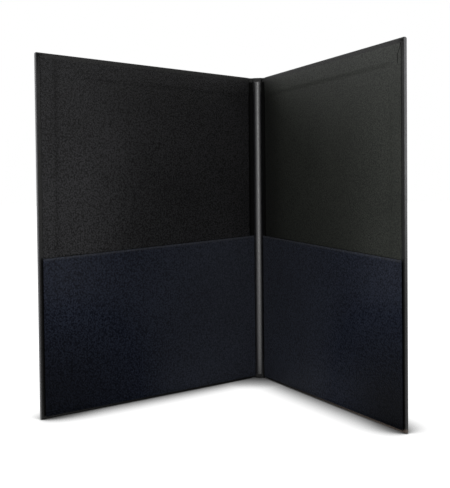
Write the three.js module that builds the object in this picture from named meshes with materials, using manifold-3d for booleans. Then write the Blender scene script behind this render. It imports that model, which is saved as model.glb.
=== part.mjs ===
// A two-pocket presentation folder in black leatherette, standing half open on its bottom edges.
// Millimetres, +Z up. The spine is at the back and the covers open toward -Y.
// The origin is under the middle of the standing folder, on the surface that it stands on.
// Each cover is drawn flat and then turned about its hinge line:
//   its X runs from the hinge line to the cover's free edge,
//   its Y runs from the outside of the cover to the inside, starting in the middle of the outer sheet,
//   its Z runs up.
// The spine is drawn the same way, with its X measured from its own middle.
import * as THREE from 'three';
import { mergeVertices } from 'three/addons/utils/BufferGeometryUtils.js';
import Module from 'manifold-3d';

const wasm = await Module();
wasm.setup();

// Covers and spine
const COVER_WIDTH = 235; // hinge edge to free edge of one cover
const COVER_HEIGHT = 298;
const SPINE_BOARD_WIDTH = 7.2;
const HINGE_GAP = 8; // soft strip between a cover board and the spine board
const OPENING_TURN = 54; // degrees that each cover is folded in from flat, as it stands
const HINGE_CUT = 0.42; // hinge line to the end of each outer sheet

// Sheets and boards
const SKIN = 0.4; // outer leatherette
const BOARD = 1.3;
const SPINE_BOARD = 1.2;
const LINER = 0.3;
const SPINE_LINER = 0.35;
const POCKET_SHEET = 0.3;
const LAYER_GAP = 0.3; // clearance between two layers
const TURN_IN = 15; // width of leatherette turned in over the boards
const EDGE_ROUND = 0.9; // rounding where the leatherette wraps a board's edge
const CORNER_ROUND = 1.6; // rounding of the covers' corners, seen from the front
const BOARD_ROUND = 0.2; // broken edges of the boards

// Liners
const LINER_MARGIN = 4; // cover's edge to liner's edge, at the top, the bottom and the free edge
const LINER_START = 4.6; // hinge line to a liner's hinge edge
const STEP_SLOPE = 2.5; // width over which a liner comes down from a layer under it
const STEP_LEAD = 0.5; // how far past that layer's edge it starts to come down

// Spine liner, which makes the rib
const RIB_CROWN = 0.45; // rise of the rib from its sides to its middle
const RIB_FOOT = 1.2; // width of the foot on each side of the rib, down in the groove
const RIB_STEPS = 12; // flats across the crown

// Pockets
const POCKET_MARGIN = 3; // cover's bottom and free edges to the pocket's folds
const POCKET_START = 4.4; // hinge line to the pocket's hinge edge
const POCKET_TALL = 138.5; // height above the bottom fold at the hinge edge
const POCKET_SHORT = 127.5; // and at the free edge
const POCKET_FLAP = 12; // width of the flaps folded behind the liner
const POCKET_HEM = 9; // hem folded in along the slanted top
const FLAP_STOP = 4; // from the hem down to the end of the side flap
const POCKET_ROUND = 0.45; // rounding of the pocket's folds

// Levels of the layers of a cover, measured from the middle of the outer sheet
const SKIN_IN = SKIN / 2;
const BOARD_OUT = SKIN_IN + LAYER_GAP;
const BOARD_IN = BOARD_OUT + BOARD;
const TURN_OUT = BOARD_IN + LAYER_GAP;
const TURN_TOP = TURN_OUT + SKIN;
const FLAP_OUT = TURN_TOP + LAYER_GAP;
const FLAP_TOP = FLAP_OUT + POCKET_SHEET;
const FRONT_OUT = FLAP_TOP + LAYER_GAP + LINER + LAYER_GAP;
const FRONT_TOP = FRONT_OUT + POCKET_SHEET;

// Levels of the layers of the spine
const SPINE_BOARD_IN = BOARD_OUT + SPINE_BOARD;
const SPINE_TURN_OUT = SPINE_BOARD_IN + LAYER_GAP;
const SPINE_TURN_TOP = SPINE_TURN_OUT + SKIN;

// Places along a cover and across the spine
const BOARD_START = HINGE_GAP / 2;
const EDGE = BOARD_START + COVER_WIDTH;
const HALF_SPINE = SPINE_BOARD_WIDTH / 2;
const HINGE_X = HALF_SPINE + HINGE_GAP / 2;
const FOLD_END = 0.9; // hinge line to the end of the doubled sheet in the groove
const POCKET_EDGE = EDGE - POCKET_MARGIN;
const PAST = 20; // cutting blocks reach this far past what they cut

const COLOURS = {
  skin: { color: 0x1b1c1f, roughness: 0.55, metalness: 0 },
  board: { color: 0x8f8778, roughness: 0.95, metalness: 0 },
  leftLiner: { color: 0x26272a, roughness: 0.6, metalness: 0 },
  rightLiner: { color: 0x24262a, roughness: 0.6, metalness: 0 },
  spineLiner: { color: 0x3a3b3e, roughness: 0.4, metalness: 0 },
  pocket: { color: 0x181b24, roughness: 0.5, metalness: 0 },
};

// A closed geometry as a solid that can be cut and joined
function solid(geometry) {
  const bare = geometry.index ? geometry.toNonIndexed() : geometry.clone();
  bare.deleteAttribute('normal');
  bare.deleteAttribute('uv');
  const merged = mergeVertices(bare, 1e-5);
  return new wasm.Manifold(new wasm.Mesh({
    numProp: 3,
    vertProperties: new Float32Array(merged.attributes.position.array),
    triVerts: new Uint32Array(merged.index.array),
  }));
}

// A solid as a geometry again
function geometryOf(body) {
  const mesh = body.getMesh();
  const geometry = new THREE.BufferGeometry();
  geometry.setAttribute('position', new THREE.BufferAttribute(new Float32Array(mesh.vertProperties), 3));
  geometry.setIndex(new THREE.BufferAttribute(new Uint32Array(mesh.triVerts), 1));
  return geometry;
}

// A flat outline in X and Z, given thickness from y0 to y1, with its long edges rounded
function plate(shape, y0, y1, round = 0) {
  const geometry = new THREE.ExtrudeGeometry(shape, {
    depth: y1 - y0 - 2 * round,
    bevelEnabled: round > 0,
    bevelThickness: round,
    bevelSize: round,
    bevelSegments: 3,
    curveSegments: 4,
  });
  geometry.rotateX(Math.PI / 2);
  geometry.translate(0, y1 - round, 0);
  return solid(geometry);
}

// A straight-sided outline through the given points
function outline(points) {
  return new THREE.Shape(points.map(([x, z]) => new THREE.Vector2(x, z)));
}

// A rectangular plate from corner a to corner b, its edges and its four corners rounded
function slab(a, b, round = 0, corner = 0) {
  const [x0, y0, z0] = a;
  const [x1, y1, z1] = b;
  const left = x0 + round;
  const right = x1 - round;
  const low = z0 + round;
  const high = z1 - round;
  const r = corner - round;
  if (r <= 0) {
    return plate(outline([[left, low], [right, low], [right, high], [left, high]]), y0, y1, round);
  }
  const shape = new THREE.Shape();
  shape.moveTo(left + r, low);
  shape.lineTo(right - r, low);
  shape.absarc(right - r, low + r, r, -Math.PI / 2, 0, false);
  shape.lineTo(right, high - r);
  shape.absarc(right - r, high - r, r, 0, Math.PI / 2, false);
  shape.lineTo(left + r, high);
  shape.absarc(left + r, high - r, r, Math.PI / 2, Math.PI, false);
  shape.lineTo(left, low + r);
  shape.absarc(left + r, low + r, r, Math.PI, 1.5 * Math.PI, false);
  return plate(shape, y0, y1, round);
}

// The outer leatherette of one cover: one sheet behind the board, wrapped round its top, bottom
// and free edge and turned in over its face. In the groove the turned-in ends lie on the sheet.
function coverSkin() {
  const grooveEnd = BOARD_START - LAYER_GAP;
  const wrap = slab([-PAST, -SKIN_IN, 0], [EDGE, TURN_TOP, COVER_HEIGHT], EDGE_ROUND, CORNER_ROUND);
  const hollow = slab(
    [-2 * PAST, SKIN_IN, SKIN],
    [EDGE - SKIN, TURN_OUT, COVER_HEIGHT - SKIN],
    EDGE_ROUND - SKIN,
    CORNER_ROUND - SKIN,
  );
  const opening = slab(
    [-2 * PAST, BOARD_IN, TURN_IN],
    [EDGE - TURN_IN, TURN_TOP + PAST, COVER_HEIGHT - TURN_IN],
  );
  const groove = slab([-2 * PAST, SKIN_IN, -PAST], [grooveEnd, TURN_TOP + PAST, COVER_HEIGHT + PAST]);
  const pastHinge = slab([-2 * PAST, -PAST, -PAST], [HINGE_CUT, PAST, COVER_HEIGHT + PAST]);
  const lowFold = slab([FOLD_END, 0, 0], [grooveEnd, SKIN_IN + SKIN, TURN_IN]);
  const highFold = slab(
    [FOLD_END, 0, COVER_HEIGHT - TURN_IN],
    [grooveEnd, SKIN_IN + SKIN, COVER_HEIGHT],
  );
  return wrap.subtract(hollow).subtract(opening).subtract(groove).subtract(pastHinge)
    .add(lowFold).add(highFold);
}

function coverBoard() {
  const inset = SKIN + LAYER_GAP;
  return slab(
    [BOARD_START, BOARD_OUT, inset],
    [EDGE - inset, BOARD_IN, COVER_HEIGHT - inset],
    BOARD_ROUND,
    CORNER_ROUND - inset,
  );
}

// 1 on a layer that ends at edge, falling to 0 past it
function fall(distancePastEdge) {
  return THREE.MathUtils.clamp(1 - (distancePastEdge - STEP_LEAD) / STEP_SLOPE, 0, 1);
}

// End of the pocket's side flap, up its fold
function flapEnd() {
  return POCKET_MARGIN + POCKET_SHORT - POCKET_HEM - FLAP_STOP;
}

// How high a liner's underside lies at x, z: on the board, over the turned-in leatherette,
// or over that and a pocket's flap
function linerLevel(x, z) {
  const overTurn = Math.max(
    fall(EDGE - TURN_IN - x),
    fall(z - TURN_IN),
    fall(COVER_HEIGHT - TURN_IN - z),
  );
  const besideFlap = Math.min(fall(POCKET_EDGE - POCKET_FLAP - x), fall(z - flapEnd()));
  const overFlap = Math.max(besideFlap, fall(z - POCKET_MARGIN - POCKET_FLAP));
  return BOARD_IN + LAYER_GAP + (SKIN + LAYER_GAP) * overTurn + (POCKET_SHEET + LAYER_GAP) * overFlap;
}

// Grid lines between two ends, with a line at each start and end of a step
function gridLines(start, end, stepEdges, direction) {
  const lines = [start, end];
  for (const edge of stepEdges) {
    lines.push(edge + direction * STEP_LEAD, edge + direction * (STEP_LEAD + STEP_SLOPE));
  }
  const kept = lines.filter((v) => v >= start && v <= end).sort((p, q) => p - q);
  return kept.filter((v, i) => i === 0 || v - kept[i - 1] > 0.01);
}

// The liner of one cover: one thin sheet that shows the steps of the layers under it
function coverLiner() {
  const free = EDGE - LINER_MARGIN;
  const low = LINER_MARGIN;
  const high = COVER_HEIGHT - LINER_MARGIN;
  const xs = gridLines(LINER_START, free, [EDGE - TURN_IN, POCKET_EDGE - POCKET_FLAP], -1);
  const upper = gridLines(low, high, [TURN_IN, POCKET_MARGIN + POCKET_FLAP, flapEnd()], 1);
  const lower = gridLines(low, high, [COVER_HEIGHT - TURN_IN], -1);
  const all = [...upper, ...lower].sort((p, q) => p - q);
  const zs = all.filter((v, i) => i === 0 || v - all[i - 1] > 0.01);
  const across = zs.length;
  const count = xs.length * across;
  const points = [];
  for (const lift of [0, LINER]) {
    for (const x of xs) {
      for (const z of zs) {
        points.push(x, linerLevel(x, z) + lift, z);
      }
    }
  }
  const faces = [];
  const quad = (a, b, c, d) => faces.push(a, b, c, a, c, d);
  const at = (i, j, layer) => layer * count + i * across + j;
  for (let i = 0; i < xs.length - 1; i += 1) {
    for (let j = 0; j < across - 1; j += 1) {
      quad(at(i, j, 0), at(i + 1, j, 0), at(i + 1, j + 1, 0), at(i, j + 1, 0));
      quad(at(i, j, 1), at(i, j + 1, 1), at(i + 1, j + 1, 1), at(i + 1, j, 1));
    }
  }
  const lastX = xs.length - 1;
  const lastZ = across - 1;
  for (let i = 0; i < lastX; i += 1) {
    quad(at(i, 0, 0), at(i, 0, 1), at(i + 1, 0, 1), at(i + 1, 0, 0));
    quad(at(i, lastZ, 0), at(i + 1, lastZ, 0), at(i + 1, lastZ, 1), at(i, lastZ, 1));
  }
  for (let j = 0; j < lastZ; j += 1) {
    quad(at(0, j, 0), at(0, j + 1, 0), at(0, j + 1, 1), at(0, j, 1));
    quad(at(lastX, j, 0), at(lastX, j, 1), at(lastX, j + 1, 1), at(lastX, j + 1, 0));
  }
  const geometry = new THREE.BufferGeometry();
  geometry.setAttribute('position', new THREE.Float32BufferAttribute(points, 3));
  geometry.setIndex(faces);
  return solid(geometry);
}

// Height of a pocket's slanted top at x, lowered by drop
function pocketTop(x, drop = 0) {
  const share = (x - POCKET_START) / (POCKET_EDGE - POCKET_START);
  return POCKET_MARGIN + POCKET_TALL + (POCKET_SHORT - POCKET_TALL) * share - drop;
}

// One pocket: a sheet in front of the liner, folded round the liner's bottom and free edges
// and glued behind them, with a hem folded in along the slanted top
function pocket() {
  const start = POCKET_START - PAST;
  const past = POCKET_EDGE + PAST;
  const inner = POCKET_EDGE - POCKET_SHEET;
  const round = POCKET_ROUND;
  const wrap = plate(outline([
    [start, POCKET_MARGIN + round],
    [POCKET_EDGE - round, POCKET_MARGIN + round],
    [POCKET_EDGE - round, pocketTop(POCKET_EDGE, round)],
    [start, pocketTop(start, round)],
  ]), FLAP_OUT, FRONT_TOP, round);
  const hollow = slab(
    [start - PAST, FLAP_TOP, POCKET_MARGIN + POCKET_SHEET],
    [inner, FRONT_OUT, COVER_HEIGHT],
  );
  const flapEdge = POCKET_EDGE - POCKET_FLAP;
  const cut = plate(outline([
    [start - PAST, POCKET_MARGIN + POCKET_FLAP],
    [flapEdge, POCKET_MARGIN + POCKET_FLAP],
    [flapEdge, flapEnd() - POCKET_FLAP],
    [past, flapEnd() + PAST],
    [past, COVER_HEIGHT],
    [start - PAST, COVER_HEIGHT],
  ]), FLAP_OUT - PAST, FLAP_TOP + LAYER_GAP / 2);
  const corner = plate(outline([
    [inner - 1, flapEnd() - 1],
    [past, flapEnd() + PAST],
    [past, COVER_HEIGHT],
    [inner - 1, COVER_HEIGHT],
  ]), FLAP_OUT - PAST, FRONT_OUT);
  const hem = plate(outline([
    [POCKET_START, pocketTop(POCKET_START, POCKET_HEM)],
    [inner - 2, pocketTop(inner - 2, POCKET_HEM)],
    [inner - 2, pocketTop(inner - 2, round)],
    [POCKET_START, pocketTop(POCKET_START, round)],
  ]), FRONT_OUT - POCKET_SHEET, FRONT_OUT + POCKET_SHEET / 2);
  const pastHinge = slab([start - PAST, -PAST, -PAST], [POCKET_START, PAST, COVER_HEIGHT + PAST]);
  return wrap.subtract(hollow).subtract(cut).subtract(corner).add(hem).subtract(pastHinge);
}

// The outer leatherette of the spine, between the two hinge lines: its ends are wrapped over
// the ends of the spine board, and lie doubled on the sheet in the two grooves
function spineSkin() {
  const reach = HINGE_X - HINGE_CUT;
  const wrap = slab([-reach - PAST, -SKIN_IN, 0], [reach + PAST, SPINE_TURN_TOP, COVER_HEIGHT], EDGE_ROUND);
  const hollow = slab(
    [-reach - 2 * PAST, SKIN_IN, SKIN],
    [reach + 2 * PAST, SPINE_TURN_OUT, COVER_HEIGHT - SKIN],
    EDGE_ROUND - SKIN,
  );
  const opening = slab(
    [-reach - 2 * PAST, SPINE_BOARD_IN, TURN_IN],
    [reach + 2 * PAST, SPINE_TURN_TOP + PAST, COVER_HEIGHT - TURN_IN],
  );
  let skin = wrap.subtract(hollow).subtract(opening);
  const foldReach = HINGE_X - FOLD_END;
  const high = COVER_HEIGHT + PAST;
  for (const side of [-1, 1]) {
    const span = (p, q) => [Math.min(side * p, side * q), Math.max(side * p, side * q)];
    const [g0, g1] = span(HALF_SPINE, reach + 2 * PAST);
    const [h0, h1] = span(reach, reach + 2 * PAST);
    const [f0, f1] = span(HALF_SPINE, foldReach);
    skin = skin.subtract(slab([g0, SKIN_IN, -PAST], [g1, SPINE_TURN_TOP + PAST, high]));
    skin = skin.subtract(slab([h0, -PAST, -PAST], [h1, PAST, high]));
    skin = skin.add(slab([f0, 0, 0], [f1, SKIN_IN + SKIN, TURN_IN]));
    skin = skin.add(slab([f0, 0, COVER_HEIGHT - TURN_IN], [f1, SKIN_IN + SKIN, COVER_HEIGHT]));
  }
  return skin;
}

function spineBoard() {
  const inset = SKIN + LAYER_GAP;
  return slab(
    [-HALF_SPINE, BOARD_OUT, inset],
    [HALF_SPINE, SPINE_BOARD_IN, COVER_HEIGHT - inset],
    BOARD_ROUND,
  );
}

// The strip over the spine board: a rounded rib with a foot down in the groove on each side
function spineLiner() {
  const side = HALF_SPINE + LAYER_GAP;
  const shoulder = SPINE_TURN_TOP + LAYER_GAP;
  const foot = SKIN_IN + SKIN + LAYER_GAP;
  const t = SPINE_LINER;
  const crown = (x, lift) => shoulder + lift + RIB_CROWN * Math.sqrt(Math.max(0, 1 - (x / (side + t)) ** 2));
  const points = [];
  points.push([-side - t - RIB_FOOT, foot], [-side, foot]);
  for (let i = 0; i <= RIB_STEPS; i += 1) {
    const x = -side + (2 * side * i) / RIB_STEPS;
    points.push([x, crown(x, 0)]);
  }
  points.push([side, foot], [side + t + RIB_FOOT, foot]);
  points.push([side + t + RIB_FOOT, foot + t], [side + t, foot + t]);
  for (let i = 0; i <= RIB_STEPS; i += 1) {
    const x = side + t - (2 * (side + t) * i) / RIB_STEPS;
    points.push([x, crown(x, t)]);
  }
  points.push([-side - t, foot + t], [-side - t - RIB_FOOT, foot + t]);
  const geometry = new THREE.ExtrudeGeometry(outline(points), {
    depth: COVER_HEIGHT - 2 * LINER_MARGIN,
    bevelEnabled: false,
  });
  geometry.translate(0, 0, LINER_MARGIN);
  return solid(geometry);
}

// One named piece; mirrored for the right cover, whose Y runs the other way
function piece(name, body, finish, mirrored = false) {
  const geometry = geometryOf(body);
  if (mirrored) {
    geometry.scale(1, -1, 1);
    const order = geometry.index.array;
    for (let i = 0; i < order.length; i += 3) {
      [order[i], order[i + 1]] = [order[i + 1], order[i]];
    }
  }
  geometry.computeVertexNormals();
  const mesh = new THREE.Mesh(geometry, new THREE.MeshStandardMaterial(COLOURS[finish]));
  mesh.name = name;
  return mesh;
}

const turn = THREE.MathUtils.degToRad(OPENING_TURN);

const spine = new THREE.Group();
spine.rotation.z = Math.PI;
spine.add(
  piece('spine_skin', spineSkin(), 'skin'),
  piece('spine_board', spineBoard(), 'board'),
  piece('spine_liner', spineLiner(), 'spineLiner'),
);

const leftCover = new THREE.Group();
leftCover.position.x = -HINGE_X;
leftCover.rotation.z = Math.PI + turn;
leftCover.add(
  piece('left_cover_skin', coverSkin(), 'skin'),
  piece('left_board', coverBoard(), 'board'),
  piece('left_liner', coverLiner(), 'leftLiner'),
  piece('left_pocket', pocket(), 'pocket'),
);

const rightCover = new THREE.Group();
rightCover.position.x = HINGE_X;
rightCover.rotation.z = -turn;
rightCover.add(
  piece('right_cover_skin', coverSkin(), 'skin', true),
  piece('right_board', coverBoard(), 'board', true),
  piece('right_liner', coverLiner(), 'rightLiner', true),
  piece('right_pocket', pocket(), 'pocket', true),
);

const folder = new THREE.Group();
folder.add(spine, leftCover, rightCover);
folder.updateMatrixWorld(true);
const bounds = new THREE.Box3().setFromObject(folder, true);
folder.position.y = -(bounds.min.y + bounds.max.y) / 2;

export default folder;
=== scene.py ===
"""A two-pocket presentation folder in black leatherette, standing half open on a white table.

Lengths are worked out in millimetres and turned to metres by place().
The folder is drawn unfolded: s runs across a cover from its hinge line to its free edge, and below
zero it runs back over the groove to the middle of the spine; n runs from the middle of the outer
sheet towards the inside; z runs up.
"""
import math

import bmesh
import bpy
from mathutils import Matrix, Vector, noise


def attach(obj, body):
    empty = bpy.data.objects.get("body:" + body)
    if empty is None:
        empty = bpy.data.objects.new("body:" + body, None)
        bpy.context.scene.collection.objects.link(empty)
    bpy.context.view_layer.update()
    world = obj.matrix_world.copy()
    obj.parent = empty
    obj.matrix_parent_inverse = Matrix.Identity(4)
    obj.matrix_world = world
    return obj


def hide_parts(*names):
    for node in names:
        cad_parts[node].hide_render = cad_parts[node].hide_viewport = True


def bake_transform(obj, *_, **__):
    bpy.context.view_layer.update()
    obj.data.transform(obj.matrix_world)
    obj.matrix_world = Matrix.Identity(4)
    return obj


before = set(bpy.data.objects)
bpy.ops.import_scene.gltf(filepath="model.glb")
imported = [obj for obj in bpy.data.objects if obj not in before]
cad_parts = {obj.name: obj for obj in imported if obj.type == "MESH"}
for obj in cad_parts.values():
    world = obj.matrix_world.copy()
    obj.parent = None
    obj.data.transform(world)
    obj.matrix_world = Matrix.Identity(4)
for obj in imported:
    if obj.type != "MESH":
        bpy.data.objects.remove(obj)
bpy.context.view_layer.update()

MM = 0.001

# Sizes of the solid folder
COVER_HEIGHT = 298.0
FREE_EDGE = 239.0  # hinge line to a cover's free edge
HALF_GAP = 4.0  # hinge line to either board
HINGE_X = 7.6
HINGE_Y = 97.131
TURN = math.radians(54.0)  # each cover is folded in from flat by this
SKIN = 0.4
TURN_IN = 15.0
BOARD_TOP = 1.8  # inner face of a cover board
FLAP_LEVEL = 2.3  # middle of the leatherette turned in over a cover board
SPINE_FLAP_LEVEL = 2.2
GROOVE_FLAP_LEVEL = 0.42  # and down in the groove
LINER_MARGIN = 4.0
LINER_START = 4.6
LINER = 0.3
POCKET_EDGE = 236.0
POCKET_FOOT = 3.0
POCKET_SHEET = 0.3
POCKET_FRONT = 4.15  # middle of the pocket's front sheet
POCKET_BACK = 2.95  # middle of the flaps folded behind the liner
POCKET_FLAP = 12.0
POCKET_HEM = 9.0
POCKET_TALL = 141.5  # height of the slanted top at the hinge edge, from the table
POCKET_SHORT = 130.5  # and at the free edge
POCKET_START = 4.4
FLAP_END = 117.5  # upper end of the pocket's side flap

ARC_RADIUS = HALF_GAP / math.tan(TURN / 2)
LEFT, RIGHT = -1, 1
SHARP_EDGE = math.radians(50)  # edges that turn more than this aren't shaded smooth


def place(side, s, n, z):
    """A point of the unfolded folder on the standing one, bent round in the groove."""
    if s >= HALF_GAP:
        return place_flat(side, s, n, z)
    if s <= -HALF_GAP:
        return Vector((side * (HINGE_X + s) * MM, (HINGE_Y - n) * MM, z * MM))
    angle = TURN * (s + HALF_GAP) / (2 * HALF_GAP)
    reach = ARC_RADIUS - n
    x = HINGE_X - HALF_GAP + reach * math.sin(angle)
    y = HINGE_Y - ARC_RADIUS + reach * math.cos(angle)
    return Vector((side * x * MM, y * MM, z * MM))


def place_flat(side, s, n, z):
    """The same for what lies in the plane of a cover, on past the hinge line."""
    x = HINGE_X + s * math.cos(TURN) - n * math.sin(TURN)
    y = HINGE_Y - s * math.sin(TURN) - n * math.cos(TURN)
    return Vector((side * x * MM, y * MM, z * MM))


def cover_matrix(side):
    """Takes a cover's own metres (s, n, z) to the standing folder."""
    origin = place_flat(side, 0, 0, 0)
    columns = [place_flat(side, 1000, 0, 0) - origin, place_flat(side, 0, 1000, 0) - origin,
               Vector((0, 0, 1))]
    turn = Matrix(columns).transposed().to_4x4()
    turn.translation = origin
    return turn


def ramp(value, start, end):
    """A smooth step from 0 at start to 1 at end."""
    t = min(1.0, max(0.0, (value - start) / (end - start)))
    return t * t * (3 - 2 * t)


def span(start, end, count):
    """count + 1 even steps, both ends among them."""
    return [start + (end - start) * i / count for i in range(count + 1)]


# Meshes

def mesh_from_grid(name, rows, sheets=()):
    """A mesh from a grid of points, with more grids joined on where their points meet."""
    bm = bmesh.new()
    for grid in (rows, *sheets):
        made = [[bm.verts.new(p) for p in row] for row in grid]
        for a, b in zip(made, made[1:]):
            for i in range(len(a) - 1):
                bm.faces.new((a[i], a[i + 1], b[i + 1], b[i]))
    bmesh.ops.remove_doubles(bm, verts=bm.verts, dist=1e-6)
    bmesh.ops.dissolve_degenerate(bm, edges=bm.edges, dist=1e-7)
    mesh = bpy.data.meshes.new(name)
    bm.to_mesh(mesh)
    bm.free()
    return mesh


def add_object(name, mesh):
    obj = bpy.data.objects.new(name, mesh)
    bpy.context.scene.collection.objects.link(obj)
    return obj


def finish_piece(obj, material, sheet):
    """Applies the modifiers, gives the sheet its thickness and turns every face outwards."""
    thick = obj.modifiers.new("sheet", "SOLIDIFY")
    thick.thickness = sheet * MM
    thick.offset = 0.0
    thick.use_even_offset = True
    bpy.context.view_layer.update()
    evaluated = obj.evaluated_get(bpy.context.evaluated_depsgraph_get())
    mesh = bpy.data.meshes.new_from_object(evaluated)
    obj.modifiers.clear()
    obj.data = mesh
    bm = bmesh.new()
    bm.from_mesh(mesh)
    bmesh.ops.recalc_face_normals(bm, faces=bm.faces)
    for face in bm.faces:
        face.smooth = True
    for edge in bm.edges:
        if len(edge.link_faces) == 2 and edge.calc_face_angle(0.0) > SHARP_EDGE:
            edge.smooth = False
    bm.to_mesh(mesh)
    bm.free()
    mesh.materials.clear()
    mesh.materials.append(material)
    return obj


# Node trees

class Value:
    """A node's output that Python arithmetic works on."""

    def __init__(self, tree, socket):
        self.tree = tree
        self.socket = socket

    def math(self, operation, *others):
        values = dict(enumerate((self, *others)))
        return self.tree.node("ShaderNodeMath", {"operation": operation}, values).out()

    def __add__(self, other):
        return self.math("ADD", other)

    def __radd__(self, other):
        return self.math("ADD", other)

    def __sub__(self, other):
        return self.math("SUBTRACT", other)

    def __rsub__(self, other):
        return self.math("MULTIPLY_ADD", -1.0, other)

    def __mul__(self, other):
        return self.math("MULTIPLY", other)

    def __truediv__(self, other):
        return self.math("DIVIDE", other)

    def power(self, other):
        return self.math("POWER", other)

    def larger(self, other):
        return self.math("MAXIMUM", other)

    def smaller(self, other):
        return self.math("MINIMUM", other)


class Node:
    """A node, and its outputs as Values."""

    def __init__(self, tree, node):
        self.tree = tree
        self.node = node

    def out(self, name=0):
        return Value(self.tree, self.node.outputs[name])


class Tree:
    """A node tree whose nodes are made by one method."""

    def __init__(self, tree):
        self.tree = tree

    def node(self, kind, settings=None, inputs=None):
        node = self.tree.nodes.new(kind)
        for key, value in (settings or {}).items():
            setattr(node, key, value)
        for key, value in (inputs or {}).items():
            self.feed(node.inputs[key], value)
        return Node(self, node)

    def feed(self, socket, value):
        if isinstance(value, Value):
            self.tree.links.new(value.socket, socket)
        elif isinstance(value, Node):
            self.tree.links.new(value.node.outputs[0], socket)
        else:
            socket.default_value = value

    def mix_colour(self, factor, first, second):
        mixed = self.node("ShaderNodeMix", {"data_type": "RGBA"}, {0: factor, 6: first, 7: second})
        return mixed.out(2)

    def noise(self, point, scale, detail=2.0, roughness=0.5):
        inputs = {"Vector": point, "Scale": scale, "Detail": detail, "Roughness": roughness}
        return self.node("ShaderNodeTexNoise", None, inputs).out("Fac")

    def attribute(self, name):
        return self.node("ShaderNodeAttribute", {"attribute_name": name}).out("Fac")

    def between(self, value, low, high, first=0.0, second=1.0):
        """A smooth step of value, from first at low to second at high."""
        return self.node("ShaderNodeMapRange", {"interpolation_type": "SMOOTHSTEP"}, {
            "Value": value, "From Min": low, "From Max": high, "To Min": first, "To Max": second,
        }).out()


def new_material(name):
    material = bpy.data.materials.new(name)
    material.use_nodes = True
    material.node_tree.nodes.clear()
    return material, Tree(material.node_tree)


def close_material(tree, base, roughness, normal, specular):
    surface = tree.node("ShaderNodeBsdfPrincipled", None, {
        "Base Color": base,
        "Roughness": roughness,
        "Specular IOR Level": specular,
        "Normal": normal,
    })
    tree.node("ShaderNodeOutputMaterial", None, {"Surface": surface})


# Finishes

# Painted light: a pale brown for the light the table throws up on the right cover's foot
PAINTED_FOOT_LIGHT = (0.11, 0.085, 0.069, 1)
# Painted highlight: the pale grey of the free edges
EDGE_HIGHLIGHT_GREY = (0.15, 0.15, 0.155, 1)
# The grey that the painted light turns to on the pockets
VEIL_GREY = (0.06, 0.062, 0.068, 1)
DEEP_SHADE = (0.0004, 0.0004, 0.0005, 1)
BEND = 0.9  # how far the grain's cells are pulled out of true, in millimetres
PAINTED_LIGHT_GAIN = 1.7  # how strongly the painted light and shade change the tone


def leatherette(name, dark, light, pebble, depth, gloss, specular, foot_light=False, veil=0.0):
    """Pressed pebble grain: rounded cells with creases between them, over a slow change of colour.

    pebble is the size of a cell and depth its height, in millimetres. Three attributes paint light
    and shade: one paints shade in the narrow places that a pocket's edge shades and along a seam
    and a crease, one paints a piece slowly lighter or darker, and one paints a pale highlight
    along an edge, which it also makes smoother. veil greys what the painted light makes lighter.
    With the foot switched on, it paints a patchy pale brown light along the right cover's foot.
    """
    material, tree = new_material(name)
    point = tree.node("ShaderNodeTexCoord").out("Object")
    bend = tree.node("ShaderNodeTexNoise", None, {
        "Vector": point, "Scale": 260.0, "Detail": 1.0,
    }).out("Color")
    shift = tree.node("ShaderNodeVectorMath", {"operation": "MULTIPLY_ADD"}, {
        0: bend, 1: (BEND * MM,) * 3, 2: point,
    }).out()
    cells = tree.node("ShaderNodeTexVoronoi", {"feature": "SMOOTH_F1"}, {
        "Vector": shift, "Scale": 1.0 / (pebble * MM), "Smoothness": 0.35, "Randomness": 0.9,
    }).out("Distance")
    fine = tree.noise(point, 2600.0, 2.0)
    broad = tree.noise(point, 14.0, 3.0, 0.55)
    patches = tree.noise(shift, 940.0 / pebble, 2.0, 0.6)
    height = 1.0 - tree.between(cells, 0.05, 0.75) + fine * 0.25
    crease = tree.between(cells, 0.3, 0.8)
    # Painted shade: the creases between the cells are a little darker
    tone = broad * 0.25 + patches * 0.85 - crease * 0.25
    shown = tree.mix_colour(tree.between(tone, 0.2, 0.78), dark, light)
    # Painted light and shade: a piece made slowly lighter or darker
    painted_light = tree.attribute("painted_light")
    shown = tree.node("ShaderNodeVectorMath", {"operation": "SCALE"}, {
        0: shown, "Scale": painted_light * PAINTED_LIGHT_GAIN + 1.0,
    }).out()
    # On the pockets the painted light is also greyed
    if veil:
        shown = tree.mix_colour(painted_light * veil, shown, VEIL_GREY)
    # Painted light: a patchy pale brown along the right cover's foot, growing out from the spine
    if foot_light:
        parts = tree.node("ShaderNodeSeparateXYZ", None, {0: point})
        foot_light_share = tree.between(parts.out("Z"), 2.4 * MM, 4.4 * MM, 1.0, 0.0)
        foot_light_share = foot_light_share * tree.between(parts.out("X"), 10.0 * MM, 120.0 * MM)
        foot_light_share = foot_light_share * tree.between(patches, 0.2, 0.6)
        shown = tree.mix_colour(foot_light_share, shown, PAINTED_FOOT_LIGHT)
    # Painted highlight along an edge, which is also made smoother
    edge_highlight = tree.attribute("edge_highlight")
    shown = tree.mix_colour(edge_highlight, shown, EDGE_HIGHLIGHT_GREY)
    # Painted shade in narrow places, which are also made rougher
    painted_shade = tree.attribute("painted_shade")
    base = tree.mix_colour(painted_shade, shown, DEEP_SHADE)
    rough = gloss + patches * 0.16 - 0.08 + crease * 0.1 + painted_shade * 0.6 - edge_highlight * 0.1
    bump = tree.node("ShaderNodeBump", None, {
        "Strength": 1.0, "Distance": depth * MM, "Height": height,
    })
    close_material(tree, base, rough, bump.out(), specular)
    return material


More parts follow.
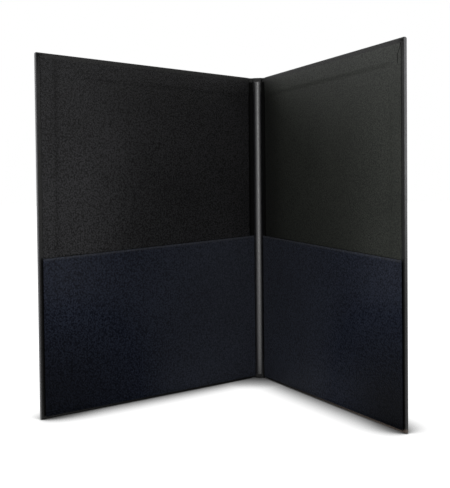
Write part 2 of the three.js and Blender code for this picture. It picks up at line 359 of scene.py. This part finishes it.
def greyboard(name):
    """Pressed grey pulp with short fibres."""
    material, tree = new_material(name)
    point = tree.node("ShaderNodeTexCoord").out("Object")
    fibres = tree.noise(point, 900.0, 5.0, 0.7)
    clouds = tree.noise(point, 60.0, 3.0)
    tone = fibres * 0.6 + clouds * 0.4
    base = tree.mix_colour(tone, (0.16, 0.145, 0.12, 1), (0.36, 0.33, 0.28, 1))
    bump = tree.node("ShaderNodeBump", None, {
        "Strength": 0.6, "Distance": 0.05 * MM, "Height": fibres,
    })
    close_material(tree, base, 0.95 - clouds * 0.1, bump.out(), 0.2)
    return material


OUTER = leatherette(
    "outer_leatherette", (0.003, 0.003, 0.003, 1), (0.014, 0.014, 0.0137, 1),
    pebble=1.0, depth=0.07, gloss=0.5, specular=0.2, foot_light=True)
LEFT_LINING = leatherette(
    "left_lining", (0.0015, 0.0015, 0.0015, 1), (0.0285, 0.0285, 0.0305, 1),
    pebble=1.3, depth=0.2, gloss=0.55, specular=0.15)
RIGHT_LINING = leatherette(
    "right_lining", (0.01, 0.011, 0.0097, 1), (0.03, 0.0322, 0.0275, 1),
    pebble=1.2, depth=0.06, gloss=0.5, specular=0.17)
POCKET_GRAIN = leatherette(
    "pocket_leatherette", (0.003, 0.0038, 0.0075, 1), (0.021, 0.026, 0.042, 1),
    pebble=1.5, depth=0.2, gloss=0.5, specular=0.035, veil=0.9)
RIB_GRAIN = leatherette(
    "rib_strip", (0.006, 0.006, 0.007, 1), (0.014, 0.014, 0.016, 1),
    pebble=1.0, depth=0.03, gloss=0.3, specular=0.8)
# Painted shade: the groove strip is nearly black and dull, darker than the outer sheet, for the
# grooves' shade
GROOVE_GRAIN = leatherette(
    "groove_strip", (0.001, 0.001, 0.001, 1), (0.003, 0.003, 0.003, 1),
    pebble=0.8, depth=0.03, gloss=0.75, specular=0.05)
BOARD_PULP = greyboard("greyboard")


def shade(obj, side, attribute, rule):
    """Writes an attribute from a rule on a cover's own s, n and z."""
    back = cover_matrix(side).inverted()
    values = obj.data.attributes.new(attribute, "FLOAT", "POINT")
    for vertex, item in zip(obj.data.vertices, values.data):
        item.value = rule(*(back @ vertex.co / MM))


# The outer leatherette

def flap_level(s):
    """Middle of the turned-in sheet: high on the boards, and down on the outer sheet between."""
    groove = GROOVE_FLAP_LEVEL
    on_cover = ramp(s, 2.3, 3.9)
    on_spine = 1 - ramp(s, -3.9, -2.3)
    return groove + (FLAP_LEVEL - groove) * on_cover + (SPINE_FLAP_LEVEL - groove) * on_spine


WRAP_ROUND = 0.7
WRAP_INSET = 1.6  # from the folder's edge in to where the sheet starts to round the board
FLAP_INSETS = (TURN_IN, 14.6, 11.0, 8.0, 5.5, 4.0, 3.4, 2.8, 2.2, WRAP_INSET)


def wrap_rings():
    """Steps of the section from the turned-in edge, round the board's edge, to the back.

    Each is its kind and its inset, or its angle on a rounded edge.
    """
    rings = [("flap", inset) for inset in FLAP_INSETS]
    rings += [("upper", math.radians(a)) for a in span(90, 0, 5)]
    rings += [("lower", math.radians(a)) for a in span(0, 90, 5)]
    rings += [("back", WRAP_INSET)]
    return rings


def wrap_section(ring, level):
    """Inset and level of one ring where the turned-in sheet lies at the given level."""
    kind, value = ring
    if kind == "flap":
        return value, level
    if kind == "back":
        return value, 0.0
    radius = min(WRAP_ROUND, level / 2)
    inset = SKIN / 2 + radius * (1 - math.cos(value))
    rise = radius * math.sin(value)
    if kind == "upper":
        return inset, level - radius + rise
    return inset, radius - rise


CORNER_STEPS = 6
CORNER_ROUND = 1.6
SEAM_WIDTH = 0.9  # of the mitred seam at a corner
SEAM_DEPTH = 0.36
# The wrap's lines across and up, closer together in the groove and beside the pocket's top
LAST_S = 222.0
FIXED_S = (span(-HINGE_X, -4.4, 6) + span(-4.0, 4.4, 24) + [5.2, 6.5, 9.0, 14.0]
           + span(22.0, 214.0, 16) + [219.0, LAST_S])
FIXED_Z = ([281.0, 277.0] + span(268.0, 142.0, 9) + [134.5, 132.5, 131.0, 129.5]
           + span(120.0, 30.0, 7) + [21.0, 17.0])


def wrap_path(ring):
    """Points (s, n, z) of one ring: along the top, down the free edge, back along the bottom."""
    cover_inset, cover_level = wrap_section(ring, FLAP_LEVEL)
    radius = max(CORNER_ROUND - cover_inset, 0.0)
    corner_s = FREE_EDGE - cover_inset
    on_flap = ring[0] == "flap"
    fade = min(1.0, (ring[1] - WRAP_INSET) / 1.5) if on_flap else 0.0

    def edge_points(top):
        found = []
        for s in FIXED_S:
            inset, level = wrap_section(ring, flap_level(s))
            found.append((s, level, COVER_HEIGHT - inset if top else inset))
        z = COVER_HEIGHT - cover_inset if top else cover_inset
        found.append(((LAST_S + corner_s - radius) / 2, cover_level, z))
        return found

    def corner_points(top):
        found = []
        corner_z = COVER_HEIGHT - cover_inset if top else cover_inset
        down = -1 if top else 1
        for k in range(CORNER_STEPS + 1):
            share = k / CORNER_STEPS
            if on_flap:
                width = SEAM_WIDTH * fade
                along = width * abs(2 * share - 1)
                s = corner_s - (along if share < 0.5 else 0)
                z = corner_z + down * (along if share > 0.5 else 0)
                dip = SEAM_DEPTH * (1 - abs(2 * share - 1)) * fade
                found.append((s, cover_level - dip, z))
            else:
                angle = math.radians(90) * (1 - share)
                s = corner_s - radius + radius * math.cos(angle)
                z = corner_z + down * (radius - radius * math.sin(angle))
                found.append((s, cover_level, z))
        return found

    points = edge_points(True) + corner_points(True)
    points += [(corner_s, cover_level, z) for z in FIXED_Z]
    points += list(reversed(corner_points(False)))
    points += list(reversed(edge_points(False)))
    return points


def build_wrap(side, name):
    rows = [[place(side, *p) for p in wrap_path(ring)] for ring in wrap_rings()]
    corner_s = FREE_EDGE - WRAP_INSET
    across = FIXED_S + [(LAST_S + corner_s) / 2, corner_s]
    up = [COVER_HEIGHT - WRAP_INSET] + FIXED_Z + [WRAP_INSET]
    back = [[place(side, s, 0.0, z) for s in across] for z in up]
    obj = add_object(name, mesh_from_grid(name, rows, [back]))
    finish_piece(obj, OUTER, SKIN)

    def beside_pocket(s, n, z):
        """Painted shade in the narrow band by the pocket's free edge, and along the mitred seam."""
        if n < BOARD_TOP:
            return 0.0
        inner = FREE_EDGE - LINER_MARGIN
        outer = FREE_EDGE - (1.5 if side == LEFT else 0.7)
        across = ramp(s, inner, inner + 0.4) * (1 - ramp(s, outer - 0.4, outer))
        top = POCKET_SHORT + 0.8 * (s - POCKET_EDGE)
        beside = across * ramp(z, 2.0, 3.4) * (1 - ramp(z, top, top + 1.2))
        out = FREE_EDGE - s
        seam = 0.95 * (1 - ramp(abs(out - (COVER_HEIGHT - z)), 0.05, 0.5)) * ramp(out, 0.9, 1.5)
        return max(beside, seam)

    def painted_edge_highlight(s, n, z):
        """A painted highlight along the free edge; on the right one it fades out by the pocket."""
        low = 0.75 if side == LEFT else 0.15
        at_edge = ramp(s, FREE_EDGE - 0.6, FREE_EDGE - 0.15) * ramp(n, -0.1, 0.6)
        return at_edge * (low + (1 - low) * ramp(z, 90.0, 210.0))

    shade(obj, side, "painted_shade", beside_pocket)
    shade(obj, side, "edge_highlight", painted_edge_highlight)
    return obj


# The liners

def fall_steps(start, end, edges, ordinary):
    """Lines between two ends, closer together where a layer underneath ends."""
    lines = {round(v, 3) for v in span(start, end, ordinary)}
    for edge in edges:
        lines |= {round(edge + v, 3) for v in span(-4.0, 4.0, 16) if start < edge + v < end}
    kept = []
    for v in sorted(lines):
        if not kept or v - kept[-1] > 0.2:
            kept.append(v)
    kept[-1] = end
    return kept


def add_lines(lines, extra):
    """The same lines with more between them, for a mark that needs them close."""
    return sorted(set(lines[:-1]) | {round(v, 3) for v in extra}) + [lines[-1]]


def add_sockets(group, names, result):
    """Gives a node group its number inputs, a material input and its result. The inputs' keys."""
    ids = {}
    for name in names:
        ids[name] = group.interface.new_socket(
            name, in_out="INPUT", socket_type="NodeSocketFloat").identifier
    ids["Material"] = group.interface.new_socket(
        "Material", in_out="INPUT", socket_type="NodeSocketMaterial").identifier
    group.interface.new_socket(result, in_out="OUTPUT", socket_type="NodeSocketGeometry")
    return ids


def form(obj, group, ids, sizes, material):
    """Puts a node group on an object, with its sizes in millimetres."""
    forming = obj.modifiers.new("form", "NODES")
    forming.node_group = group
    for name, value in sizes.items():
        forming[ids[name]] = value * MM
    forming[ids["Material"]] = material


def liner_tree():
    """Forms a flat sheet over the board, the turned-in leatherette and the pocket's flaps."""
    group = bpy.data.node_groups.new("liner_over_layers", "GeometryNodeTree")
    group.interface.new_socket("Sheet", in_out="INPUT", socket_type="NodeSocketGeometry")
    names = ("Board level", "Turn-in rise", "Flap rise", "Turn-in edge", "Turn-in foot",
             "Turn-in head", "Flap edge", "Flap foot", "Flap end", "Step", "Ripple")
    ids = add_sockets(group, names, "Formed")
    tree = Tree(group)
    given = tree.node("NodeGroupInput")
    size = {socket_name: given.out(socket_name) for socket_name in names}
    position = tree.node("GeometryNodeInputPosition").out()
    parts = tree.node("ShaderNodeSeparateXYZ", None, {0: position})
    across, up = parts.out("X"), parts.out("Z")

    def covered(past):
        return tree.between(past, 0.0, size["Step"], 1.0, 0.0)

    over_turn = covered(size["Turn-in edge"] - across).larger(covered(up - size["Turn-in foot"]))
    over_turn = over_turn.larger(covered(size["Turn-in head"] - up))
    beside = covered(size["Flap edge"] - across).smaller(covered(up - size["Flap end"]))
    over_flap = beside.larger(covered(up - size["Flap foot"]))
    waves = tree.noise(position, 11.0, 1.5) - 0.5
    level = size["Board level"] + over_turn * size["Turn-in rise"] + over_flap * size["Flap rise"]
    level = level + waves * size["Ripple"] * (1.0 - over_turn)
    formed = tree.node("ShaderNodeCombineXYZ", None, {"X": across, "Y": level, "Z": up})
    moved = tree.node("GeometryNodeSetPosition", None, {
        "Geometry": given.out("Sheet"), "Position": formed,
    })
    real = tree.node("GeometryNodeRealizeInstances", None, {"Geometry": moved})
    dressed = tree.node("GeometryNodeSetMaterial", None, {
        "Geometry": real, "Material": given.out("Material"),
    })
    tree.node("NodeGroupOutput", None, {"Formed": dressed})
    return group, ids


LINER_TREE, LINER_IDS = liner_tree()
LAYER_STEP = 0.4  # how far past a layer's edge the liner starts to come down

# Painted shade for a crease at the right liner's top corner: its place, and how far it runs out
# between two heights
CREASE_S = 230.4
CREASE_OUT = 4.2
CREASE_LOW, CREASE_HIGH = 284.0, 294.0
CREASE_END = 277.0  # nothing of it shows below this height

# Close lines for the crease, and for the shade above the pocket's mouth
CREASE_ACROSS = span(CREASE_S - 1.0, CREASE_S + CREASE_OUT + 0.2, 18)
CREASE_UP = span(CREASE_END, CREASE_HIGH - 0.5, 33)
MOUTH_UP = span(129.0, 145.0, 32)


def build_liner(side, name, material):
    free = FREE_EDGE - LINER_MARGIN
    foot = LINER_MARGIN
    head = COVER_HEIGHT - LINER_MARGIN
    across = fall_steps(LINER_START, free, [FREE_EDGE - TURN_IN], 60)
    across = add_lines(across, CREASE_ACROSS)
    up = fall_steps(foot, head, [TURN_IN, FLAP_END, COVER_HEIGHT - TURN_IN], 70)
    up = add_lines(up, MOUTH_UP + CREASE_UP)
    rows = [[Vector((s, 0.0, z)) * MM for z in up] for s in across]
    obj = add_object(name, mesh_from_grid(name, rows))
    form(obj, LINER_TREE, LINER_IDS, {
        "Board level": 2.25,
        "Turn-in rise": 0.42,
        "Flap rise": 0.6,
        "Turn-in edge": FREE_EDGE - TURN_IN - LAYER_STEP,
        "Turn-in foot": TURN_IN + LAYER_STEP,
        "Turn-in head": COVER_HEIGHT - TURN_IN - LAYER_STEP,
        "Flap edge": POCKET_EDGE - POCKET_FLAP - LAYER_STEP,
        "Flap foot": POCKET_FOOT + POCKET_FLAP + LAYER_STEP,
        "Flap end": FLAP_END,
        "Step": 5.0,
        "Ripple": 0.2,
    }, material)
    finish_piece(obj, material, LINER)
    obj.data.transform(cover_matrix(side))
    if side == RIGHT:
        obj.data.flip_normals()

    def behind_pocket(s, n, z):
        """Painted shade: what the pocket's mouth shades, and the line of the right liner's
        crease, which is only painted.
        """
        above = z - pocket_top(s)
        mouth = 0.85 * (1 - ramp(above, 0.2, 1.3)) * ramp(POCKET_EDGE - s, 0.0, 1.0)
        if side == LEFT or z < CREASE_END:
            return mouth
        crease = abs(s - CREASE_S - CREASE_OUT * ramp(z, CREASE_LOW, CREASE_HIGH))
        rise = ramp(z, CREASE_END + 1.0, CREASE_END + 4.0)
        return max(mouth, 0.9 * (1 - ramp(crease, 0.25, 0.7)) * rise)

    def liner_painted_light(s, n, z):
        """Painted light and shade: both liners are painted a little lighter towards their free
        edges. The right one is painted darker near the spine, and the left one along its top and
        where it comes down off the turn-in."""
        if side == RIGHT:
            return 0.22 * ramp(s, 140.0, 215.0) - 0.36 * (1 - ramp(s, 5.0, 50.0))
        outer = 0.22 * ramp(s, 130.0, 205.0) * (1 - ramp(z, 205.0, 285.0))
        upper = 0.15 * ramp(z, 215.0, 290.0) * (1 - ramp(s, 170.0, 225.0))
        step = FREE_EDGE - TURN_IN - 2.6
        ridge = 0.3 * math.exp(-((s - step) / 2.0) ** 2) * (0.3 + 0.7 * ramp(z, 150.0, 280.0))
        return outer - upper - ridge

    shade(obj, side, "painted_shade", behind_pocket)
    shade(obj, side, "painted_light", liner_painted_light)
    return obj


# The strip inside the spine

RIB_HALF = 4.1
RIB_CROWN = 3.35
RIB_FOOT_LEVEL = 0.75
RIB_STEPS = 64
RIB_STRIP = 0.35  # thickness of the strip over the rib
GROOVE_STRIP = 0.27  # and drawn a little thinner in the grooves, clear of its neighbours


def rib_tree():
    """Sweeps an arched section up the spine."""
    group = bpy.data.node_groups.new("rib_up_the_spine", "GeometryNodeTree")
    ids = add_sockets(group, ("Half width", "Crown", "Foot", "Low", "High"), "Rib")
    tree = Tree(group)
    given = tree.node("NodeGroupInput")
    section = tree.node("GeometryNodeMeshLine", {"mode": "OFFSET"}, {"Count": RIB_STEPS + 1})
    share = tree.node("GeometryNodeInputIndex").out() / RIB_STEPS
    out = share * 2.0 - 1.0
    across = (out * (math.pi / 2)).math("SINE")
    arch = (1.0 - across.math("ABSOLUTE").power(2.0)).larger(0.0).power(0.5)
    x = across * given.out("Half width")
    y = given.out("Foot") + (given.out("Crown") - given.out("Foot")) * arch
    shape = tree.node("ShaderNodeCombineXYZ", None, {"X": x, "Y": y})
    formed = tree.node("GeometryNodeSetPosition", None, {"Geometry": section, "Position": shape})
    profile = tree.node("GeometryNodeMeshToCurve", None, {"Mesh": formed})
    low = tree.node("ShaderNodeCombineXYZ", None, {"Z": given.out("Low")})
    high = tree.node("ShaderNodeCombineXYZ", None, {"Z": given.out("High")})
    rise = tree.node("GeometryNodeCurvePrimitiveLine", None, {"Start": low, "End": high})
    steps = tree.node("GeometryNodeResampleCurve", None, {"Curve": rise, "Count": 120})
    swept = tree.node("GeometryNodeCurveToMesh", None, {"Curve": steps, "Profile Curve": profile})
    real = tree.node("GeometryNodeRealizeInstances", None, {"Geometry": swept})
    dressed = tree.node("GeometryNodeSetMaterial", None, {
        "Geometry": real, "Material": given.out("Material"),
    })
    tree.node("NodeGroupOutput", None, {"Rib": dressed})
    return group, ids


def build_rib(name, material):
    group, ids = rib_tree()
    obj = add_object(name, bpy.data.meshes.new(name))
    form(obj, group, ids, {
        "Half width": RIB_HALF,
        "Crown": RIB_CROWN,
        "Foot": RIB_FOOT_LEVEL,
        "Low": LINER_MARGIN,
        "High": COVER_HEIGHT - LINER_MARGIN,
    }, material)
    finish_piece(obj, material, RIB_STRIP)
    turn_in = Matrix(((-1, 0, 0, 0), (0, -1, 0, HINGE_Y * MM), (0, 0, 1, 0), (0, 0, 0, 1)))
    obj.data.transform(turn_in)
    return obj


def strip_level(s, z):
    """Middle of the strip that lines the groove and runs on under the liner."""
    head = COVER_HEIGHT - TURN_IN
    ends = max(1 - ramp(z, TURN_IN, TURN_IN + 2.0), ramp(z, head - 2.0, head))
    groove = 0.38 + 0.42 * ends
    board = BOARD_TOP + 0.16 + 0.3 * ends
    return groove + (board - groove) * ramp(s, 2.0, 3.8)


def build_groove_strip(side, name, material):
    across = span(-3.9, 4.2, 26) + [5.0, 6.5, 8.0]
    up = fall_steps(LINER_MARGIN, COVER_HEIGHT - LINER_MARGIN,
                    [TURN_IN, COVER_HEIGHT - TURN_IN], 60)
    rows = [[place(side, s, strip_level(s, z), z) for z in up] for s in across]
    obj = add_object(name, mesh_from_grid(name, rows))
    return finish_piece(obj, material, GROOVE_STRIP)


# The pockets

POCKET_HINGE_END = {LEFT: -0.1, RIGHT: 1.8}  # how far each pocket's front runs into the groove
NARROWED = 14.0  # width beside the free edge where the front's columns draw together


def pocket_top(s):
    """Height of the slanted top."""
    share = (s - POCKET_START) / (POCKET_EDGE - POCKET_START)
    return POCKET_TALL + (POCKET_SHORT - POCKET_TALL) * share


def build_pocket(side, name):
    """One sheet: flaps behind the liner, folds round its free and bottom edges, front and hem."""
    hinge_end = POCKET_HINGE_END[side]
    half = POCKET_SHEET / 2
    radius = (POCKET_FRONT - POCKET_BACK) / 2
    edge_s = POCKET_EDGE - half
    foot_z = POCKET_FOOT + half
    inner = POCKET_EDGE - NARROWED
    across = ([235.0, 234.6, 234.0, 233.0, 231.0, 227.0] + span(inner, 20.0, 22)
              + [14.0, 9.0, 6.0] + span(POCKET_START, hinge_end, 8))
    heights = [1.0, 0.997, 0.994, 0.99, 0.985, 0.978] + span(0.96, 0.06, 28)

    def slant(s, z):
        """The right pocket runs out a little towards its foot."""
        if side == LEFT:
            return 0.0
        return (0.8 + 1.2 * (1 - z / POCKET_SHORT)) * ramp(s, 120.0, POCKET_EDGE - 2.0)

    def lie(s, n, z):
        return place_flat(side, s + slant(s, z), n, z)

    def sag(s, z):
        """How far the front stands out: slightly uneven, and thicker along its hemmed top."""
        inside = ramp(POCKET_EDGE - s, 2, 30) * ramp(z - POCKET_FOOT, 2, 30)
        below = pocket_top(s) - z
        fold = 0.38 * math.exp(-(below / 1.3) ** 2) * ramp(POCKET_EDGE - s, 0.8, 2.4)
        return 0.12 * inside * noise.noise(Vector((s * 0.012, z * 0.016, 5.0 + side))) + fold

    def ring_path(inset, level, head):
        """Down the free edge from head and along the bottom to the hinge end."""
        low = foot_z + inset
        found = [(edge_s - inset, level, low + (head - low) * share) for share in heights + [0.0]]
        for s in across:
            if s > inner:
                s = inner + (s - inner) * (edge_s - inset - inner) / (edge_s - radius - inner)
            found.append((s, level, low))
        return found

    rings = []
    for inset in (11.8, 8.0, 4.0, 1.0):
        rings.append(ring_path(inset, POCKET_BACK, FLAP_END - inset))
    for angle in span(-90, 90, 8):
        a = math.radians(angle)
        inset = radius * (1 - math.cos(a))
        level = POCKET_BACK + radius + radius * math.sin(a)
        head = pocket_top(edge_s) - half - (POCKET_FRONT - level) * 1.4
        rings.append(ring_path(inset, level, head))
    rows = [[lie(*p) for p in ring] for ring in rings]

    low = foot_z + radius
    columns = [edge_s - radius] + across
    front = []
    for share in heights + [0.0]:
        row = []
        for s in columns:
            head = pocket_top(s) - half
            z = low + (head - low) * share
            row.append(lie(s, POCKET_FRONT + sag(s, z), z))
        front.append(row)

    # The hem turns over the top edge and runs down behind the front
    turned = [math.radians(angle) for angle in span(0, 180, 6)]
    section = [(half * (1 - math.cos(a)), half * math.sin(a)) for a in turned]
    section += [(2 * half, -drop) for drop in (2.0, 5.0, POCKET_HEM)]
    hem = []
    for behind, rise in section:
        row = []
        for s in columns:
            head = pocket_top(s) - half
            row.append(lie(s, POCKET_FRONT + sag(s, head) - behind, head + rise))
        hem.append(row)
    obj = add_object(name, mesh_from_grid(name, rows, [front, hem]))
    finish_piece(obj, POCKET_GRAIN, POCKET_SHEET * 0.92)

    def at_fold(s, n, z):
        """The fold at the free edge lies in shade, save for its face to the front."""
        s -= slant(POCKET_EDGE, z)
        to_front = ramp(n, POCKET_FRONT - 0.2, POCKET_FRONT + 0.1)
        return ramp(s, POCKET_EDGE - 0.55, POCKET_EDGE - 0.3) * (1 - to_front)

    def pocket_painted_light(s, n, z):
        """Painted light and shade: the pockets are lighter near the spine, at their upper free
        corners and along their tops, and darker at their lower free corners."""
        towards_hinge = 0.37 * (1 - ramp(s, -20.0, 250.0))
        upper_corner = 0.13 * ramp(s, 150.0, 225.0) * ramp(z, 40.0, 130.0)
        darker = 0.4 if side == LEFT else 0.5
        lower_corner = darker * ramp(s, 90.0, 220.0) * (1 - ramp(z, 10.0, 115.0))
        in_front = ramp(n, POCKET_FRONT - 0.05, POCKET_FRONT + 0.1)
        fold = 0.4 * ramp(z - pocket_top(s), -1.6, -0.7) * in_front
        return towards_hinge + upper_corner - lower_corner + fold

    shade(obj, side, "painted_shade", at_fold)
    shade(obj, side, "painted_light", pocket_painted_light)
    return obj


# Making the folder

wraps = {
    LEFT: build_wrap(LEFT, "cover_wrap_left"),
    RIGHT: build_wrap(RIGHT, "cover_wrap_right"),
}
liners = {
    LEFT: build_liner(LEFT, "liner_left", LEFT_LINING),
    RIGHT: build_liner(RIGHT, "liner_right", RIGHT_LINING),
}
rib = build_rib("spine_rib", RIB_GRAIN)
strips = {
    LEFT: build_groove_strip(LEFT, "groove_strip_left", GROOVE_GRAIN),
    RIGHT: build_groove_strip(RIGHT, "groove_strip_right", GROOVE_GRAIN),
}
pockets = {
    LEFT: build_pocket(LEFT, "pocket_left"),
    RIGHT: build_pocket(RIGHT, "pocket_right"),
}

for node in ("left_board", "right_board", "spine_board"):
    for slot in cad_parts[node].material_slots:
        slot.material = BOARD_PULP

# The liners and the rib are attached to the model's bodies, and the model's pieces they replace are
# hidden
BODY = {LEFT: "left_cover", RIGHT: "right_cover"}
SIDE_NAME = {LEFT: "left", RIGHT: "right"}
BEND_REACH = 3.2  # on each side of the hinge line
MID_HEIGHT = 150
MID_POCKET = 70


def bend_at_groove(obj, side):
    place(side, BEND_REACH, 0, MID_HEIGHT)
    place(side, -BEND_REACH, 0, MID_HEIGHT)
    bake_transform(obj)


for side in (LEFT, RIGHT):
    word = SIDE_NAME[side]
    bend_at_groove(wraps[side], side)
    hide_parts(word + "_cover_skin")
    bend_at_groove(strips[side], side)
    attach(liners[side], BODY[side])
    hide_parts(word + "_liner")
    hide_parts(word + "_pocket")
    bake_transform(pockets[side], BODY[side], "spine",
             start=place_flat(side, POCKET_START, POCKET_FRONT, MID_POCKET),
             end=place_flat(side, POCKET_HINGE_END[side], POCKET_FRONT, MID_POCKET))
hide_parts("spine_skin")
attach(rib, "spine")
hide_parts("spine_liner")


# Table, light and camera

CONTACT_SHADOW = 45.0  # how near the folder the table is shaded, in millimetres
CORNER_SHADE = 1.3  # the shade's strength beside the covers' outer corners
SPINE_SHADE = 0.82  # and behind the spine
DARKEST, WHITEST = 0.37, 0.97  # how open the table is where it gets black and where white
TABLE_SHOWN = (0.3, 0.3, 0.3, 1)
TABLE_UNSEEN = (0.12, 0.12, 0.12, 1)  # dull for the light that falls back on the folder
TABLE_REACH = 40.0  # metres
SKY_LIGHT = 0.45  # strength of the world as a light, where the background shows as 1


def background_rays(tree):
    """1 for the rays that show the white background: to the camera, in a gloss or through glass."""
    path = tree.node("ShaderNodeLightPath")
    rays = path.out("Is Camera Ray") + path.out("Is Glossy Ray") + path.out("Is Transmission Ray")
    return tree.between(rays, 0.0, 1.0)


def add_table():
    """A white table that is shaded only near the folder: mostly a painted shadow from occlusion,
    and a little real shadow from the lamps.
    """
    ends = (-TABLE_REACH, TABLE_REACH)
    rows = [[Vector((x, y, 0.0)) for x in ends] for y in ends]
    table = add_object("table", mesh_from_grid("table", rows))
    material, tree = new_material("white_table")
    seen = background_rays(tree)
    near = tree.node("ShaderNodeAmbientOcclusion", {"samples": 24}, {
        "Distance": CONTACT_SHADOW * MM,
    }).out("AO")
    point = tree.node("ShaderNodeTexCoord").out("Object")
    parts = tree.node("ShaderNodeSeparateXYZ", None, {0: point})
    # Painted shadow: deeper beside the covers' outer corners and thinner behind the spine
    out_squared = parts.out("X") * parts.out("X")  # both sides alike
    at_corners = tree.between(out_squared, 0.01, 0.022, 1.0, CORNER_SHADE)
    at_spine = tree.between(parts.out("Y"), 0.05, 0.085, 1.0, SPINE_SHADE)
    near = 1.0 - (1.0 - near) * at_corners * at_spine
    open_sky = tree.between(near, DARKEST, WHITEST)
    lit = tree.node("ShaderNodeBsdfDiffuse", None, {"Color": TABLE_SHOWN})
    glow = tree.node("ShaderNodeEmission", None, {"Color": open_sky, "Strength": 1.0})
    white = tree.node("ShaderNodeAddShader", None, {0: lit, 1: glow})
    dull = tree.node("ShaderNodeBsdfDiffuse", None, {"Color": TABLE_UNSEEN})
    both = tree.node("ShaderNodeMixShader", None, {0: seen, 1: dull, 2: white})
    tree.node("ShaderNodeOutputMaterial", None, {"Surface": both})
    table.data.materials.append(material)


def add_world():
    world = bpy.data.worlds.new("studio")
    bpy.context.scene.world = world
    world.use_nodes = True
    world.node_tree.nodes.clear()
    tree = Tree(world.node_tree)
    strength = background_rays(tree) * (1.0 - SKY_LIGHT) + SKY_LIGHT
    sky = tree.node("ShaderNodeBackground", None, {"Color": (1, 1, 1, 1), "Strength": strength})
    tree.node("ShaderNodeOutputWorld", None, {"Surface": sky})


def add_softbox(name, at, towards, size, power):
    lamp = bpy.data.lights.new(name, "AREA")
    lamp.shape = "DISK"
    lamp.size = size
    lamp.energy = power
    obj = bpy.data.objects.new(name, lamp)
    bpy.context.scene.collection.objects.link(obj)
    obj.location = at
    obj.rotation_euler = (Vector(towards) - Vector(at)).to_track_quat("-Z", "Y").to_euler()


# The photo's camera, in metres and radians
EYE = Vector((0.154711, -0.766917, 0.177038))
YAW, PITCH, ROLL = -0.182181, 0.030007, -0.009166
FOCAL = 882.41  # pixels
CENTRE = (254.26, 226.91)  # pixels
FRAME = (450, 488)
SENSOR = 36.0  # millimetres


def add_camera():
    camera = bpy.data.cameras.new("view")
    camera.sensor_width = SENSOR
    camera.lens = FOCAL * SENSOR / FRAME[1]
    camera.shift_x = -(CENTRE[0] - FRAME[0] / 2) / FRAME[1]
    camera.shift_y = (CENTRE[1] - FRAME[1] / 2) / FRAME[1]
    camera.clip_start = 0.01
    level_forward = Vector((math.sin(YAW), math.cos(YAW), 0))
    level_right = Vector((math.cos(YAW), -math.sin(YAW), 0))
    up = Vector((0, 0, 1))
    forward = level_forward * math.cos(PITCH) - up * math.sin(PITCH)
    above = up * math.cos(PITCH) + level_forward * math.sin(PITCH)
    right = level_right * math.cos(ROLL) + above * math.sin(ROLL)
    over = above * math.cos(ROLL) - level_right * math.sin(ROLL)
    obj = bpy.data.objects.new("view", camera)
    bpy.context.scene.collection.objects.link(obj)
    turn = Matrix((right, over, -forward)).transposed().to_4x4()
    obj.matrix_world = Matrix.Translation(EYE) @ turn
    bpy.context.scene.camera = obj


add_table()
add_world()

# Each lamp's place, what it points at, its width in metres and its power in watts
LAMPS = {
    "front_upper": ((0.1, -1.6, 0.52), (0, 0, 0.15), 0.5, 4.0),
    "front_lower": ((0.1, -1.6, 0.1), (0, 0, 0.15), 0.5, 3.6),
    "left_side": ((-1.5, -0.9, 0.9), (0, 0, 0.15), 0.8, 4.5),
    "left_edge": ((-1.5, -0.35, 0.8), (0, 0, 0.15), 0.6, 7.0),
    "right_top": ((0.6, -0.65, 0.8), (-0.18, -0.05, 0.28), 0.3, 1.2),
    "right_edge": ((1.5, -0.38, 0.3), (0, 0, 0.15), 0.5, 5.0),
    "left_rim": ((-1.5, 0.06, 0.3), (-0.14, -0.1, 0.15), 0.4, 3.5),
}
for lamp_name, setting in LAMPS.items():
    add_softbox(lamp_name, *setting)
add_camera()
bpy.context.scene.view_settings.view_transform = "Standard"
